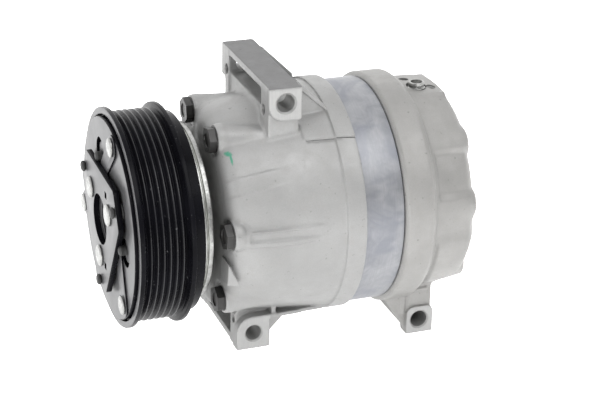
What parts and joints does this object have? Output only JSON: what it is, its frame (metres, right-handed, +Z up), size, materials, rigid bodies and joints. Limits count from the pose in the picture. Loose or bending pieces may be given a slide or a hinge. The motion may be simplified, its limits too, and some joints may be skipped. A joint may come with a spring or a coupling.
{
  "type": "automotive air conditioning compressor",
  "caption": "Belt-driven wobble-plate air conditioning compressor with a grooved clutch pulley, bolted aluminium casing, bored mounting lugs and a rear head with line ports.",
  "frame": {"origin": "on the shaft axis, in the plane through the upper lug's bolt bore", "axes": "+X along the shaft from the pulley to the rear head, +Z up towards the upper lug, lug bores along Y with the machined near faces towards -Y"},
  "size_m": [0.2119, 0.1332, 0.1598],
  "materials": {
    "cast_aluminium": "sand-textured die casting, satin",
    "machined_aluminium": "turned, fine circumferential marks",
    "steel": "ground",
    "zinc_plated": "bright zinc plate",
    "gloss_black": "gloss black coating",
    "black_steel": "black phosphate, satin",
    "rubber": "matt",
    "copper": "enamelled copper wire",
    "plastic": "matt moulded",
    "brass": "turned",
    "gasket": "coated sheet"
  },
  "bodies": {
    "housing": {"front_head": "cast_aluminium", "cylinder_block": "machined_aluminium", "rear_head": "cast_aluminium", "rear_foot": "cast_aluminium", "rear_port_block": "cast_aluminium", "front_o_ring": "rubber", "rear_o_ring": "rubber", "head_gasket": "gasket", "suction_reed": "steel", "valve_plate": "steel", "control_valve": "brass", "relief_valve": "zinc_plated", "through_bolt_1": "black_steel", "through_bolt_2": "black_steel", "through_bolt_3": "black_steel", "through_bolt_4": "black_steel", "through_bolt_5": "black_steel", "through_bolt_6": "black_steel", "bearing_inner_race": "steel", "bearing_circlip": "black_steel", "coil_housing": "zinc_plated", "coil_winding": "copper", "coil_connector": "plastic", "shaft_seal": "rubber", "front_bearing": "steel", "rear_bearing": "steel", "guide_pin": "steel"},
    "pulley": {"pulley": "gloss_black", "bearing_outer_race": "steel"},
    "shaft": {"shaft": "steel", "hub": "gloss_black", "shaft_nut": "zinc_plated", "driver_plate": "gloss_black", "drive_lug": "steel", "plate_rivet_1": "zinc_plated", "plate_rivet_2": "zinc_plated", "plate_rivet_3": "zinc_plated", "rubber_bumper_1": "rubber", "rubber_bumper_2": "rubber", "rubber_bumper_3": "rubber", "leaf_spring_1": "steel", "leaf_spring_2": "steel", "leaf_spring_3": "steel"},
    "armature": {"armature_disc": "gloss_black", "disc_rivet_1": "zinc_plated", "disc_rivet_2": "zinc_plated", "disc_rivet_3": "zinc_plated"},
    "wobble": {"wobble_plate": "cast_aluminium", "journal": "steel"},
    "piston_unit_1": {"piston_1": "machined_aluminium", "piston_rod_1": "steel"},
    "piston_unit_2": {"piston_2": "machined_aluminium", "piston_rod_2": "steel"},
    "piston_unit_3": {"piston_3": "machined_aluminium", "piston_rod_3": "steel"},
    "piston_unit_4": {"piston_4": "machined_aluminium", "piston_rod_4": "steel"},
    "piston_unit_5": {"piston_5": "machined_aluminium", "piston_rod_5": "steel"}
  },
  "joints": [
    {"name": "pulley_spin", "type": "hinge", "parent": "housing", "child": "pulley", "pos_m": [0, 0, 0], "axis": [1, 0, 0], "continuous": true},
    {"name": "shaft_spin", "type": "hinge", "parent": "housing", "child": "shaft", "pos_m": [0, 0, 0], "axis": [1, 0, 0], "continuous": true},
    {"name": "armature_pull", "type": "slide", "parent": "shaft", "child": "armature", "axis": [1, 0, 0], "range_m": [0, 0.00045], "stiffness_N_per_m": 20000},
    {"name": "wobble_tilt", "type": "hinge", "parent": "housing", "child": "wobble", "pos_m": [0.0057, 0, 0], "axis": [0, 1, 0], "range_deg": [0, 20], "stiffness_Nm_per_rad": 2},
    {"name": "piston_slide_1", "type": "slide", "parent": "housing", "child": "piston_unit_1", "axis": [1, 0, 0], "range_m": [-0.0003, 0.01147]},
    {"name": "piston_slide_2", "type": "slide", "parent": "housing", "child": "piston_unit_2", "axis": [1, 0, 0], "range_m": [-0.0003, 0.00375]},
    {"name": "piston_slide_3", "type": "slide", "parent": "housing", "child": "piston_unit_3", "axis": [1, 0, 0], "range_m": [-0.00934, 0.0003]},
    {"name": "piston_slide_4", "type": "slide", "parent": "housing", "child": "piston_unit_4", "axis": [1, 0, 0], "range_m": [-0.00934, 0.0003]},
    {"name": "piston_slide_5", "type": "slide", "parent": "housing", "child": "piston_unit_5", "axis": [1, 0, 0], "range_m": [-0.0003, 0.00375]}
  ],
  "couplings": [
    {"joint": "piston_slide_1", "follows": "wobble_tilt", "m_per_rad": 0.032012},
    {"joint": "piston_slide_2", "follows": "wobble_tilt", "m_per_rad": 0.009892},
    {"joint": "piston_slide_3", "follows": "wobble_tilt", "m_per_rad": -0.025899},
    {"joint": "piston_slide_4", "follows": "wobble_tilt", "m_per_rad": -0.025899},
    {"joint": "piston_slide_5", "follows": "wobble_tilt", "m_per_rad": 0.009892}
  ]
}
